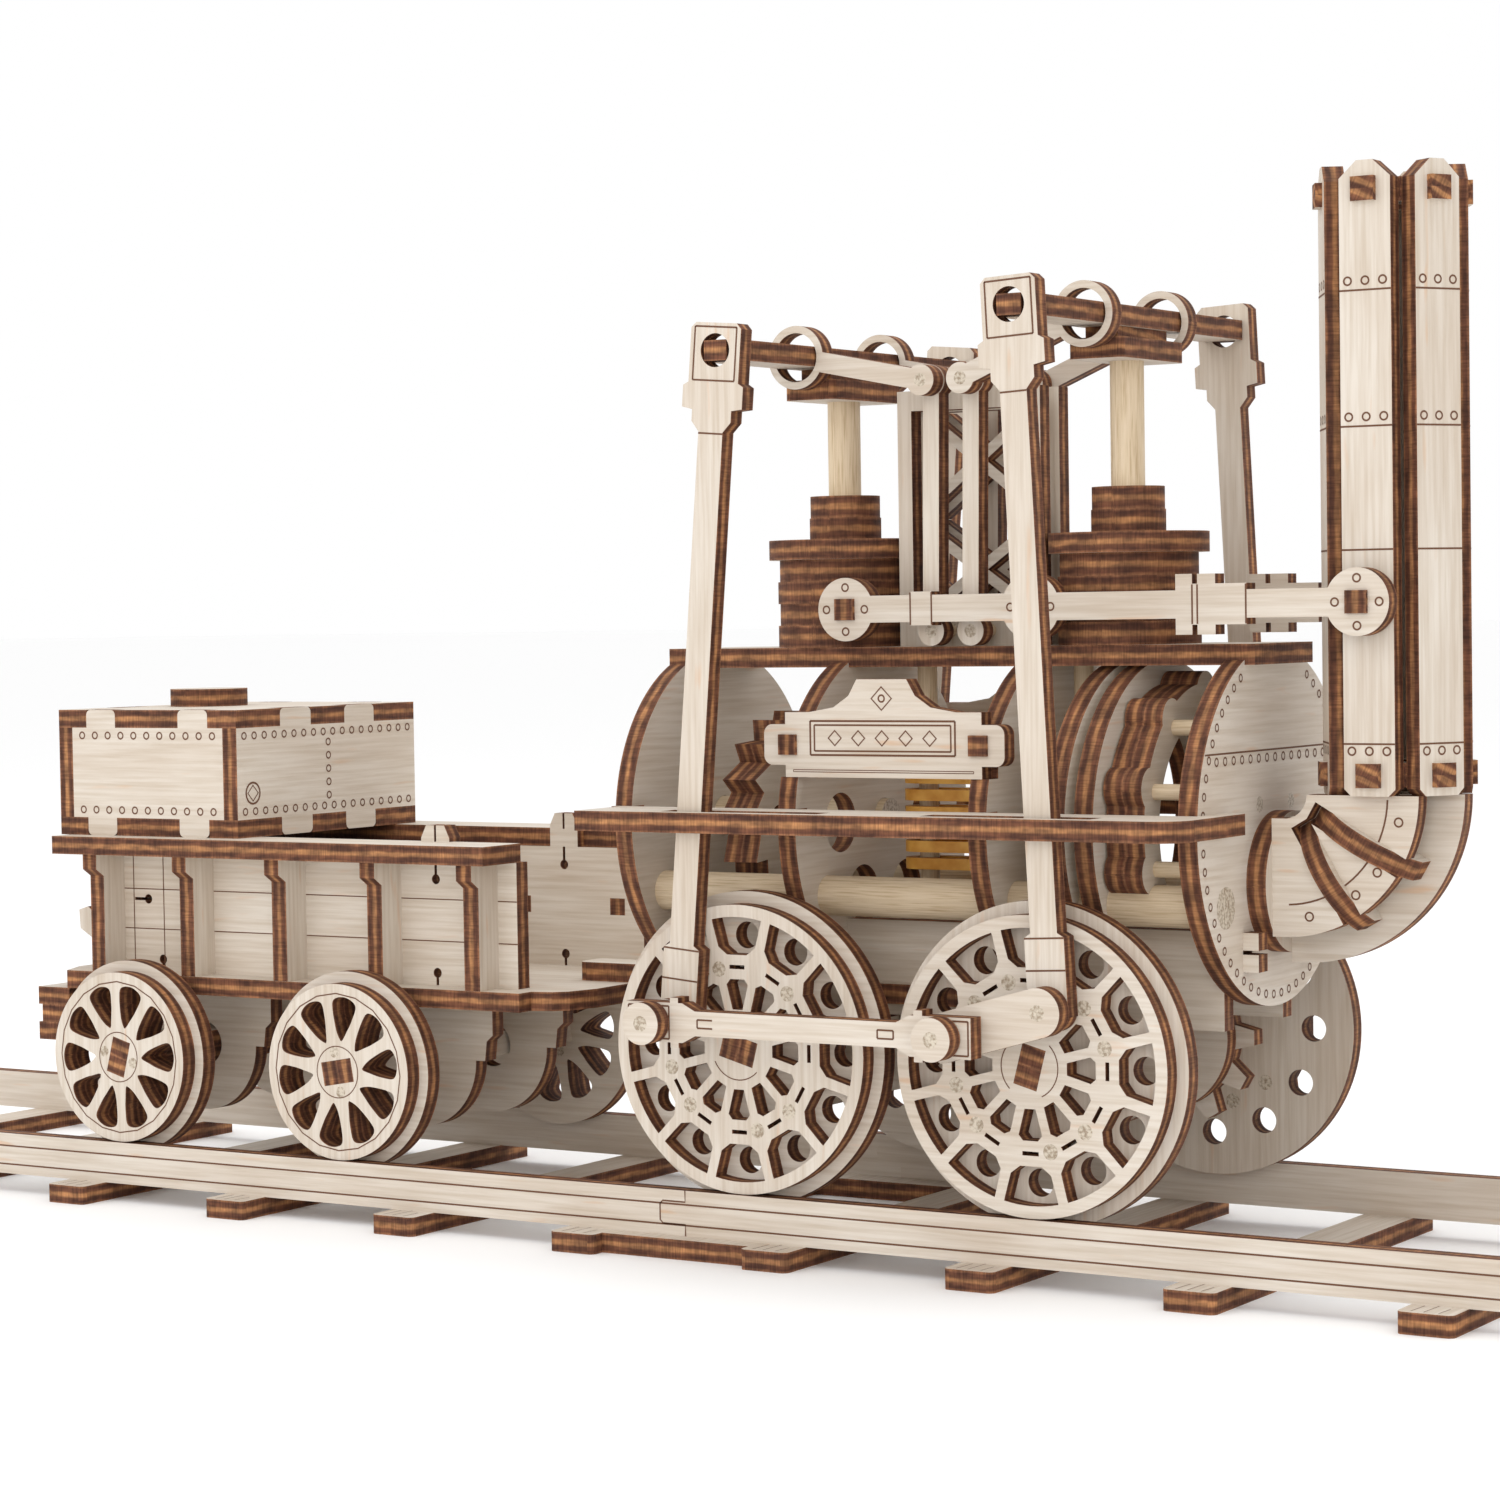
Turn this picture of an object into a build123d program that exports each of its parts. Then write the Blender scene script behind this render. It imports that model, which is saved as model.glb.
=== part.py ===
from build123d import *
import math
import os

# Plywood steam locomotive with its tender on a length of track, in millimetres.
# X runs along the track towards the chimney, Y across it, Z up.
# The origin is on the floor, under the middle of the track at the rail joint.

# ---- driving dimensions -------------------------------------------------------------
PLY = 3.0                    # plywood thickness
GAP = 0.3                    # space between faces that slide past each other
PLAY = 0.05                  # radial play of an eye on its pin
PIN_R = 1.15                 # thin dowel pins
DOWEL_R = 3.0                # thick boiler dowels

SLEEPER_HALF = 39.0
SLEEPER_WIDTH = 8.0
SLEEPER_PITCH = 34.0
SECTION_LENGTH = 204.0       # one length of rail; two make the track
RAIL_HEIGHT = 6.8
RAIL_TOP = PLY + RAIL_HEIGHT
RAIL_FACE_Y = 33.4           # outer face of each rail

WHEEL_FACE_Y = 32.9          # outer face of every wheel
WHEEL_INNER_Y = WHEEL_FACE_Y - 2 * PLY
WHEEL_LIFT = 0.1             # daylight between a tread and its rail
LOCO_WHEEL_R = 21.4
LOCO_FLANGE_R = 23.2
TENDER_WHEEL_R = 14.0
TENDER_FLANGE_R = 15.7
WHEELBASE = 48.5
FRONT_AXLE_X = 58.0
REAR_AXLE_X = FRONT_AXLE_X - WHEELBASE
TENDER_AXLES = {"front": -66.0, "rear": -112.1}
AXLE_Z = RAIL_TOP + LOCO_WHEEL_R + WHEEL_LIFT
TENDER_AXLE_Z = RAIL_TOP + TENDER_WHEEL_R + WHEEL_LIFT
AXLE_HEIGHT = 3.8            # an axle is two plies side by side
BEARING_R = 3.7
SPOKES = 12
SPOKE_RING_R = 12.2          # ring that joins the inner and the outer spokes

CRANK_R = 9.7
REAR_CRANK_ANGLE = 150.5     # of the rear crank pin, from +X towards +Z
FRONT_CRANK_ANGLE = 60.5
ROD_LENGTH = 98.1
ROD_IN = WHEEL_FACE_Y + GAP              # inner face of the connecting rods
RETURN_IN = ROD_IN + PLY + GAP           # of the return cranks
COUPLING_IN = RETURN_IN + PLY + GAP      # of the coupling rods
CAP_IN = COUPLING_IN + PLY + GAP         # of the retaining caps

BOILER_R = 26.0
BOILER_Z = 63.8
REAR_PLATE_X = -16.5
FORMERS_X = (12.7, 44.8)
FRONT_PLATE_X = 78.0
DOWEL_Y = 17.0
DOWEL_Z = 53.1
DECK_TOP = 90.1
DECK_HALF = 10.0
BOARD_TOP = 66.5
BOARD_EDGE_Y = 39.0
FRAME_Y = 8.5                # inner face of each main frame
FRAME_TOP = 49.2
FRAME_SEAT = 43.6            # where the formers sit down into the frames

CYLINDER_R = 10.5
DISC = 3.35                  # one disc of a glued cylinder stack
PISTON_R = 2.5
BEAM_WIDTH = 6.6             # crosshead beam, a flat plate on its face
PEG_WIDTH = 3.8
LATTICE_Y = 1.5              # inner faces of the parallel motion, from the middle outwards
LINK_Y = 7.6
ARM_Y = 10.9
LATTICE_X = (21.6, 45.9)
LINK_FOOT_Z = 92.4
LINK_TOP_Z = 129.5
ARM_LENGTH = 21.9
EYE_R = 2.3

CHIMNEY_X = 99.8
CHIMNEY_BOTTOM = 68.7
CHIMNEY_TOP = 156.8
CHIMNEY_APOTHEM = 10.0
STAVE_WIDTH = 7.6
CHIMNEY_TABS_Z = (CHIMNEY_BOTTOM + 2.9, CHIMNEY_TOP - 4.0)
ELBOW_X = 86.0               # centre of the quarter bend
PIPE_Y = 10.9
PIPE_Z = 95.8
PIPE_EYES_X = (17.6, 48.9, CHIMNEY_X)
TIES_X = (-8.0, 20.0, 32.0)
NAMEPLATE_Y = 22.2           # inner face of the nameplates
NAMEPLATE_Z = 71.2

SOLE_Z = 33.8                # underside of the tender's sole board
SOLE_HALF = 24.4
WALL_TOP = 56.8
WALL_Y = 16.2                # inner face of the tender's side walls
WALL_X = (-129.5, -40.3)
POSTS_X = (-123.8, -104.1, -84.4, -64.7, -45.5)
LOCK_X = -56.2               # tabs of the side walls that stand up through the rims
RIM_X = (-130.4, -40.3)
TANK_X = (-132.2, -93.2)
TANK_HALF = 23.7
TANK_TOP = 80.9

NEAR = -1
FAR = 1
SIDES = {"near": NEAR, "far": FAR}
ENGINES = {"front": (FRONT_AXLE_X, FRONT_CRANK_ANGLE), "rear": (REAR_AXLE_X, REAR_CRANK_ANGLE)}


# ---- helpers ------------------------------------------------------------------------
def rect(u0, u1, v0, v1):
    return Pos((u0 + u1) / 2, (v0 + v1) / 2) * Rectangle(abs(u1 - u0), abs(v1 - v0))


def soft_rect(u0, u1, v0, v1, radius=1.0):
    return Pos((u0 + u1) / 2, (v0 + v1) / 2) * RectangleRounded(u1 - u0, v1 - v0, radius)


def disc(u, v, radius):
    return Pos(u, v) * Circle(radius)


def shape(*points):
    return Polygon(*points, align=None)


def both_ways(*right_side):
    """Closes an outline, given up its right side, with the mirror image."""
    return shape(*right_side, *[(-u, v) for u, v in reversed(right_side)])


def polar(radius, angle):
    return radius * math.cos(math.radians(angle)), radius * math.sin(math.radians(angle))


def side_plate(outline, y_low, thickness=PLY):
    """Stands a sketch, drawn in X and Z, on edge along the track."""
    return Pos(0, y_low + thickness, 0) * extrude(Plane.XZ * outline, thickness)


def cross_plate(outline, x_low, thickness=PLY):
    """Stands a sketch, drawn in Y and Z, across the track."""
    return Pos(x_low, 0, 0) * extrude(Plane.YZ * outline, thickness)


def flat_plate(outline, z_low, thickness=PLY):
    return Pos(0, 0, z_low) * extrude(outline, thickness)


def outward(outline, side, y_in, thickness=PLY):
    """A plate on one side of the model, whose inner face is y_in from the middle."""
    return side_plate(outline, y_in if side == FAR else -y_in - thickness, thickness)


def each_side(outline, y_in, thickness=PLY):
    return [outward(outline, side, y_in, thickness) for side in (NEAR, FAR)]


def with_mirror(solid):
    return [solid, mirror(solid, about=Plane.XZ)]


def save(name, *groups):
    """Writes one node; each of its pieces stays a solid of its own."""
    pieces = [piece for group in groups for piece in (group if isinstance(group, list) else [group])]
    solids = [solid for piece in pieces for solid in piece.solids()]
    whole = Compound(children=solids) if len(solids) > 1 else solids[0]
    export_step(whole, f"parts/{name}.step")


# ---- track --------------------------------------------------------------------------
def build_track():
    tongue = soft_rect(-4.5, 1.0, PLY + 1.7, PLY + 5.1, 1.0)
    front_rail = rect(0, SECTION_LENGTH, PLY, RAIL_TOP) + tongue
    rear_rail = rect(-SECTION_LENGTH, 0, PLY, RAIL_TOP) - tongue
    for name, side in SIDES.items():
        rails = [outward(rail, side, RAIL_FACE_Y - PLY) for rail in (rear_rail, front_rail)]
        save(f"{name}_rails", rails)
    sleeper = soft_rect(-SLEEPER_WIDTH / 2, SLEEPER_WIDTH / 2, -SLEEPER_HALF, SLEEPER_HALF, 1.0)
    places = [sign * SLEEPER_PITCH * (k + 0.5) for k in range(1, 6) for sign in (-1, 1)]
    save("sleepers", [flat_plate(Pos(x, 0) * sleeper, 0) for x in places])
    inset = SLEEPER_PITCH / 2
    ladder = Pos(inset, 0) * sleeper + Pos(-inset, 0) * sleeper
    for side in (NEAR, FAR):
        ladder += rect(-inset, inset, side * 25, side * 36.5)
    save("joint_sleeper", flat_plate(ladder, 0))


# ---- locomotive wheels --------------------------------------------------------------
def on_axle(sketch, axle_x, turn):
    return Pos(axle_x, AXLE_Z) * Rot(0, 0, turn) * sketch


def axle_slot():
    """Drawn, like everything on the wheels, for a crank pin at REAR_CRANK_ANGLE."""
    return Rot(0, 0, REAR_CRANK_ANGLE - 165.5) * Rectangle(2 * PLY, AXLE_HEIGHT)


def wheel_pins():
    angles = [base + 90 * k for base in (15, 45) for k in range(4)]
    return [disc(*polar(SPOKE_RING_R, angle), PIN_R) for angle in angles]


def crank_pin_hole():
    return disc(*polar(CRANK_R, REAR_CRANK_ANGLE), PIN_R)


def spoke_disc():
    """Twelve outer and twelve inner windows, with a ring of short slits between them."""
    outer = Rot(0, 0, -90) * both_ways((1.7, 14), (3.2, 15.1), (4.2, 18.6), (4.7, 21)) & Circle(19.6)
    inner = Rot(0, 0, -90) * both_ways((0.86, 5.9), (1.86, 9.6), (1.2, 10.4))
    slit = Pos(SPOKE_RING_R, 0) * Rectangle(0.6, 2.6)
    spacing = 360 / SPOKES
    holes = [Rot(0, 0, spacing * k) * hole for k in range(SPOKES) for hole in (outer, inner, slit)]
    boss = disc(*polar(CRANK_R, REAR_CRANK_ANGLE), 2.6)
    return Circle(LOCO_WHEEL_R) - holes + boss - wheel_pins() - axle_slot() - crank_pin_hole()


def flange_disc():
    holes = [disc(*polar(16.7, 360 / SPOKES * k), 2.0) for k in range(SPOKES)]
    return Circle(LOCO_FLANGE_R) - holes - wheel_pins() - axle_slot() - crank_pin_hole()


def axle_halves(axle_x, turn):
    half = Rot(0, 0, REAR_CRANK_ANGLE - 165.5) * rect(0, PLY, -AXLE_HEIGHT / 2, AXLE_HEIGHT / 2)
    halves = [on_axle(half, axle_x, turn), on_axle(half, axle_x, turn + 180)]
    return [side_plate(outline, -WHEEL_FACE_Y, 2 * WHEEL_FACE_Y) for outline in halves]


def drive_gear():
    gear = Circle(10.6)
    tooth = shape((10, -2.0), (13.8, -1.1), (13.8, 1.1), (10, 2.0))
    gear += [Rot(0, 0, 30 * k) * tooth for k in range(12)]
    return gear - axle_slot()


def build_loco_wheels():
    """Both wheelsets share one pattern, turned to each wheelset's crank angle."""
    collar_y = FRAME_Y + PLY + GAP
    for end, (axle_x, angle) in ENGINES.items():
        turn = angle - REAR_CRANK_ANGLE
        spokes, flange = on_axle(spoke_disc(), axle_x, turn), on_axle(flange_disc(), axle_x, turn)
        pegs = [on_axle(peg, axle_x, turn) for peg in wheel_pins()]
        pins = [piece for peg in pegs for piece in each_side(peg, WHEEL_INNER_Y, 2 * PLY)]
        save(f"{end}_spoke_discs", each_side(spokes, WHEEL_FACE_Y - PLY), pins)
        save(f"{end}_flange_discs", each_side(flange, WHEEL_INNER_Y))
        collar = on_axle(Circle(6.0) - axle_slot(), axle_x, turn)
        collars = each_side(collar, collar_y) if end == "rear" else outward(collar, NEAR, collar_y)
        save(f"{end}_axle", axle_halves(axle_x, turn), collars)
    gear = on_axle(drive_gear(), FRONT_AXLE_X, FRONT_CRANK_ANGLE - REAR_CRANK_ANGLE)
    save("drive_gear", outward(gear, FAR, collar_y))


# ---- cranks and rods ----------------------------------------------------------------
def crank_point(axle_x, angle):
    u, v = polar(CRANK_R, angle)
    return axle_x + u, AXLE_Z + v


def build_crank_pins():
    """Each pin starts in the wheel; caps keep the coupling rods on."""
    rear = crank_point(REAR_AXLE_X, REAR_CRANK_ANGLE)
    front = crank_point(FRONT_AXLE_X, FRONT_CRANK_ANGLE)
    joint = crank_point(FRONT_AXLE_X, REAR_CRANK_ANGLE)
    pin_end = CAP_IN + PLY
    rear_pins = each_side(disc(*rear, PIN_R), WHEEL_INNER_Y, pin_end - WHEEL_INNER_Y)
    spacers = each_side(disc(*rear, 3.0) - disc(*rear, PIN_R), RETURN_IN)
    rear_caps = each_side(disc(*rear, 3.1) - disc(*rear, PIN_R), CAP_IN)
    save("rear_crank_pins", rear_pins, spacers, rear_caps)
    front_pins = each_side(disc(*front, PIN_R), WHEEL_INNER_Y, RETURN_IN + PLY - WHEEL_INNER_Y)
    joint_pins = each_side(disc(*joint, PIN_R), RETURN_IN, pin_end - RETURN_IN)
    joint_caps = each_side(disc(*joint, 3.1) - disc(*joint, PIN_R), CAP_IN)
    save("front_crank_pins", front_pins, joint_pins, joint_caps)
    span = math.dist(front, joint)
    tilt = math.degrees(math.atan2(front[1] - joint[1], front[0] - joint[0]))
    arm = soft_rect(-3.5, span, -3.5, 3.5, 0.8) + disc(span, 0, 3.5)
    arm = Pos(*joint) * Rot(0, 0, tilt) * arm
    save("return_cranks", each_side(arm - disc(*front, PIN_R) - disc(*joint, PIN_R), RETURN_IN))


def coupling_rod():
    """A slim bar with an oblong head, two ears and a sloped shoulder at each end."""
    half = WHEELBASE / 2
    head = [(half + 4.6, 2.9), (half - 3.1, 2.9), (half - 3.1, 3.65), (half - 4.5, 3.65), (half - 4.5, 2.9),
            (half - 5.2, 2.9), (half - 7.4, 1.8)]
    upper = head + [(-u, v) for u, v in reversed(head)]
    outline = shape(*upper, *[(u, -v) for u, v in reversed(upper)])
    return Pos(half, 0) * (outline - disc(half, 0, PIN_R + PLAY) - disc(-half, 0, PIN_R + PLAY))


def connecting_rod():
    """Drawn upright, from the crank pin at the origin to the crosshead eye."""
    top = ROD_LENGTH
    lower = [(3.1, -1.0), (3.1, 10.2), (2.1, 10.8)]
    collar = [(2.1, top - 11.9), (3.4, top - 10.4), (3.4, top - 8.7), (5.2, top - 8.4), (5.2, top - 5.2)]
    outline = both_ways(*lower, *collar, (4.3, top - 4.7), (4.3, top + 3.2), (3.5, top + 4.0))
    eye_r = math.hypot(PEG_WIDTH, PLY) / 2 + PLAY
    return outline + Circle(3.1) - Circle(PIN_R + PLAY) - disc(0, top, eye_r)


def crosshead_z(crank_angle):
    u, v = polar(CRANK_R, crank_angle)
    return AXLE_Z + v + math.sqrt(ROD_LENGTH ** 2 - u ** 2)


def build_rods():
    rear = crank_point(REAR_AXLE_X, REAR_CRANK_ANGLE)
    for side_name, side in SIDES.items():
        save(f"{side_name}_coupling_rod", outward(Pos(*rear) * coupling_rod(), side, COUPLING_IN))
        for end, (axle_x, angle) in ENGINES.items():
            foot = crank_point(axle_x, angle)
            lean = math.degrees(math.asin((foot[0] - axle_x) / ROD_LENGTH))
            rod = Pos(*foot) * Rot(0, 0, lean) * connecting_rod()
            peg = Pos(axle_x, crosshead_z(angle)) * Rectangle(PEG_WIDTH, PLY)
            save(f"{end}_{side_name}_rod", outward(rod, side, ROD_IN), outward(peg, side, ROD_IN))


# ---- crossheads and parallel motion -------------------------------------------------
def link_top_x(axle_x, crank_angle):
    """Where the end of a radius arm meets its link, between the two cylinders."""
    reach = math.sqrt(ARM_LENGTH ** 2 - (crosshead_z(crank_angle) - LINK_TOP_Z) ** 2)
    return axle_x + reach if axle_x == REAR_AXLE_X else axle_x - reach


def build_crosshead(end, rod_bottom):
    axle_x, angle = ENGINES[end]
    z = crosshead_z(angle)
    beam_half = ROD_IN - GAP
    beam = rect(axle_x - BEAM_WIDTH / 2, axle_x + BEAM_WIDTH / 2, -beam_half, beam_half)
    neck = rect(axle_x - 2.6, axle_x + 2.6, -8, 8) - disc(axle_x, 0, PISTON_R)
    seat = soft_rect(axle_x - 4.4, axle_x + 4.4, -ARM_Y + 0.7, ARM_Y - 0.7, 1.0) - disc(axle_x, 0, PISTON_R)
    seat_top = z - PLY / 2 - 1.7
    save(f"{end}_crosshead", flat_plate(beam, z - PLY / 2), flat_plate(neck, seat_top, 1.7),
         flat_plate(seat, seat_top - PLY))
    rod_top = z - PLY / 2
    save(f"{end}_piston_rod", flat_plate(disc(axle_x, 0, PISTON_R), rod_bottom, rod_top - rod_bottom))
    tip = (link_top_x(axle_x, angle), LINK_TOP_Z)
    tilt = math.degrees(math.atan2(tip[1] - z, tip[0] - axle_x))
    ring_r = math.hypot(BEAM_WIDTH, PLY) / 2 + PLAY
    arm = rect(0, ARM_LENGTH, -1.5, 1.5) + Circle(ring_r + 1.1) + disc(ARM_LENGTH, 0, EYE_R)
    arm = arm - Circle(ring_r) - disc(ARM_LENGTH, 0, 1.0)
    save(f"{end}_radius_arms", each_side(Pos(axle_x, z) * Rot(0, 0, tilt) * arm, ARM_Y),
         each_side(disc(*tip, 1.0), ARM_Y))


def build_cylinders():
    barrels, covers = [], []
    for x, _ in ENGINES.values():
        bore = disc(x, 0, PISTON_R + PLAY)
        for layer in range(4):
            radius = CYLINDER_R - 0.3 * (layer % 2)
            barrels.append(flat_plate(disc(x, 0, radius) - bore, DECK_TOP + DISC * layer, DISC))
        flange_z = DECK_TOP + 4 * DISC
        covers.append(flat_plate(disc(x, 0, CYLINDER_R + 1.3) - bore, flange_z))
        for layer in range(2):
            gland = disc(x, 0, 5.5 - 0.15 * layer) - bore
            covers.append(flat_plate(gland, flange_z + PLY + DISC * layer, DISC))
    save("cylinder_barrels", barrels)
    save("cylinder_covers", covers)


def lattice_outline():
    """Two posts joined by crossed braces, with hooked tops and a foot on the deck."""
    x0, x1 = LATTICE_X
    z0, z1 = DECK_TOP, LINK_TOP_Z - 1.0
    outline = rect(x0, x0 + 2.4, z0, z1) + rect(x1 - 2.4, x1, z0, z1)
    outline += rect(x0, x1, z0, z0 + 4.6) + rect(x0, x1, z1 - 3.0, z1)
    levels = [z0 + 3.6, (z0 + z1) / 2, z1 - 2.0]
    for low, high in zip(levels, levels[1:]):
        for left, right in ((low, high), (high, low)):
            outline += shape((x0 + 1, left - 1), (x0 + 1, left + 1),
                             (x1 - 1, right + 1), (x1 - 1, right - 1))
    return outline


def build_guides():
    middle = (FRONT_AXLE_X + REAR_AXLE_X) / 2
    links, pins, sockets = [], [], []
    for end, foot_x in (("rear", middle - 3.35), ("front", middle + 3.35)):
        top_x = link_top_x(*ENGINES[end])
        length = math.dist((foot_x, LINK_FOOT_Z), (top_x, LINK_TOP_Z))
        lean = math.degrees(math.atan2(top_x - foot_x, LINK_TOP_Z - LINK_FOOT_Z))
        link = rect(-1.35, 1.35, 0, length) + disc(0, 0, 2.2) + disc(0, length, EYE_R)
        link = Pos(foot_x, LINK_FOOT_Z) * Rot(0, 0, -lean) * link
        links += each_side(link - disc(foot_x, LINK_FOOT_Z, 1.0) - disc(top_x, LINK_TOP_Z, 1.0), LINK_Y)
        pins += each_side(disc(top_x, LINK_TOP_Z, 1.0), LINK_Y)
        pins.append(side_plate(disc(foot_x, LINK_FOOT_Z, 1.0), -LINK_Y - PLY, 2 * (LINK_Y + PLY)))
        sockets.append(disc(foot_x, LINK_FOOT_Z, 1.0))
    save("lattice_frames", each_side(lattice_outline() - sockets, LATTICE_Y))
    save("guide_links", links, pins)


# ---- boiler -------------------------------------------------------------------------
def boiler_disc():
    outline = disc(0, BOILER_Z, BOILER_R) - rect(-DECK_HALF, DECK_HALF, DECK_TOP - PLY, DECK_TOP + PLY)
    board_slots = [rect(side * 22.6, side * 27, BOARD_TOP - PLY, BOARD_TOP) for side in (NEAR, FAR)]
    return outline - dowel_holes() - board_slots


def frame_slots(low, high):
    return [rect(side * FRAME_Y, side * (FRAME_Y + PLY), low, high) for side in (NEAR, FAR)]


def plate_seats():
    """Flats on the formers for the nameplates."""
    return [rect(side * NAMEPLATE_Y, side * 27, NAMEPLATE_Z, NAMEPLATE_Z + 9.6) for side in (NEAR, FAR)]


def build_boiler():
    end_plate = boiler_disc() - frame_slots(FRAME_SEAT, FRAME_TOP)
    shaft_hole = disc(0, BOILER_Z, DOWEL_R + PLAY)
    save("boiler_rear_plate", cross_plate(end_plate - shaft_hole, REAR_PLATE_X))
    former = boiler_disc() - frame_slots(0, FRAME_SEAT) - plate_seats()
    rear_former = former - shaft_hole - [Pos(0, BOILER_Z) * disc(*polar(13, 60 * k), 4.5) for k in range(6)]
    save("boiler_formers", cross_plate(rear_former, FORMERS_X[0]),
         cross_plate(former - disc(0, BOILER_Z, 14), FORMERS_X[1]))
    dots = [disc(side * 5.4, BOILER_Z + 3.3, PIN_R) for side in (NEAR, FAR)]
    pegs = [cross_plate(dot, FRONT_PLATE_X - 4, PLY + 4) for dot in dots]
    save("boiler_front_plate", cross_plate(end_plate - dots, FRONT_PLATE_X), pegs)
    length = FRONT_PLATE_X + PLY - REAR_PLATE_X
    save("boiler_dowels", [cross_plate(section, REAR_PLATE_X, length) for section in dowel_holes()])
    deck = rect(REAR_PLATE_X - 0.3, FRONT_PLATE_X + 4.6, -DECK_HALF, DECK_HALF)
    save("top_deck", flat_plate(deck, DECK_TOP - PLY))


def open_ring(outer, inner):
    """A ring that is open below, where its ends rest on the two boiler dowels."""
    ring = Circle(outer) - Circle(inner)
    ring = Pos(0, BOILER_Z) * ring - rect(-30, 30, 30, DOWEL_Z - 1.5)
    ring -= rect(-30, 30, DECK_TOP - PLY, DECK_TOP)
    return ring


def dowel_holes():
    return [disc(side * DOWEL_Y, DOWEL_Z, DOWEL_R) for side in (NEAR, FAR)]


def build_motor_rings():
    """Two plain rings, then a double ring with scallops whose pins reach the front plate."""
    plain = open_ring(24.0, 18.0) - dowel_holes()
    pin_angles = [-18 + 36 * k for k in range(7)]
    bumps = [Pos(0, BOILER_Z) * disc(*polar(19.2, angle), 3.1) for angle in pin_angles]
    pegs = [Pos(0, BOILER_Z) * disc(*polar(17.8, angle), PIN_R) for angle in pin_angles]
    scalloped = open_ring(20.6, 15.8) + bumps - pegs - dowel_holes()
    rings = [cross_plate(plain, x) for x in (56.3, 60.8)]
    rings += [cross_plate(scalloped, x) for x in (64.2, 67.2)]
    save("motor_rings", rings, [cross_plate(peg, 64.2, FRONT_PLATE_X - 64.2) for peg in pegs])


def build_winding_gear():
    """A saw-toothed ratchet on a dowel that turns in the rear plate and the first former."""
    pitch = 360 / 16
    saw = []
    for k in range(16):
        saw += [polar(16.4, pitch * k), polar(13.4, pitch * k + 4)]
    wheel = shape(*saw) - Circle(DOWEL_R) - [disc(*polar(8.6, 60 * k), 2.2) for k in range(6)]
    shaft_x = REAR_PLATE_X - 1.2
    shaft = cross_plate(disc(0, BOILER_Z, DOWEL_R), shaft_x, FORMERS_X[0] + PLY + 1.2 - shaft_x)
    save("ratchet_wheel", [cross_plate(Pos(0, BOILER_Z) * wheel, x) for x in (-4.0, -1.0)], shaft)


def build_rubber_bands():
    """Stretched loops between two pins that hang from the deck."""
    x0, x1 = 20.0, 54.0
    loop = SlotOverall(x1 - x0, 7.4) - SlotOverall(x1 - x0 - 3.6, 3.8)
    bands = [flat_plate(Pos((x0 + x1) / 2, 0) * loop, BOILER_Z - 7.5 + 2.6 * k, 1.7) for k in range(6)]
    pin_x = (x0 + 1.8 + 1.85, x1 - 1.8 - 1.85)
    pin_bottom = BOILER_Z - 12
    pins = [flat_plate(disc(x, 0, 1.5), pin_bottom, DECK_TOP - PLY - pin_bottom) for x in pin_x]
    save("rubber_bands", bands)
    save("band_pins", pins)


# ---- chassis ------------------------------------------------------------------------
def main_frame():
    """A long plate with a round bearing lobe at each axle and paired tabs at its ends."""
    x0, x1 = REAR_PLATE_X + PLY, FRONT_PLATE_X
    outline = rect(x0, x1, 35.0, FRAME_TOP) + rect(x0 - PLY - 2.4, x1 + PLY + 2.4, FRAME_SEAT, FRAME_TOP)
    outline += [disc(x, AXLE_Z, 11) for x in (REAR_AXLE_X, FRONT_AXLE_X)]
    kerf_z = (FRAME_SEAT + FRAME_TOP) / 2
    outline -= [rect(x, x + 8, kerf_z - 0.3, kerf_z + 0.3) for x in (x0 - 8.5, x1 + 0.5)]
    outline -= [disc(x, AXLE_Z, BEARING_R) for x in (REAR_AXLE_X, FRONT_AXLE_X)]
    outline -= [rect(x, x + PLY, FRAME_SEAT, FRAME_TOP) for x in FORMERS_X]
    return outline - [rect(x, x + 9, 37.0, 37.0 + PLY) for x in TIES_X]


def build_chassis():
    save("main_frames", each_side(main_frame(), FRAME_Y))
    tie = rect(0, 9, -15, 15) + rect(-1.5, 10.5, -FRAME_Y, FRAME_Y)
    ears = [rect(-1.5, 10.5, side * (FRAME_Y + PLY), side * 15) for side in (NEAR, FAR)]
    save("cross_ties", [flat_plate(Pos(x, 0) * (tie + ears), 37.0) for x in TIES_X])
    bar = soft_rect(-40.0, REAR_PLATE_X - GAP, -3.2, 3.2, 1.5)
    save("drawbar", flat_plate(bar, SOLE_Z + PLY))


def running_board():
    """A board slotted for the rods, whose front end wraps round the boiler's front plate."""
    x0, x1 = -15.0, 84.4
    front_face = FRONT_PLATE_X + PLY
    board = soft_rect(x0, x1, 10.0, BOARD_EDGE_Y, 5.0) - rect(x0, front_face, 0, BOILER_R)
    board += rect(x0, x0 + 8, BOILER_R, BOARD_EDGE_Y - 1) + rect(x0, x0 + 8, BOILER_R + 1, BOARD_EDGE_Y)
    board -= rect(x0, x1, 0, 17.7)
    board += [rect(x, x + PLY, 22.6, BOILER_R + 1) for x in (REAR_PLATE_X, *FORMERS_X, FRONT_PLATE_X)]
    height = BOARD_TOP - PLY / 2 - AXLE_Z
    for axle_x, angle in ENGINES.values():
        lean = -polar(CRANK_R, angle)[0] * height / ROD_LENGTH
        swing = CRANK_R + 3.8
        board -= rect(axle_x + lean - swing, axle_x + lean + swing, ROD_IN - 0.5, ROD_IN + PLY + 0.5)
    return flat_plate(board, BOARD_TOP - PLY)


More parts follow.
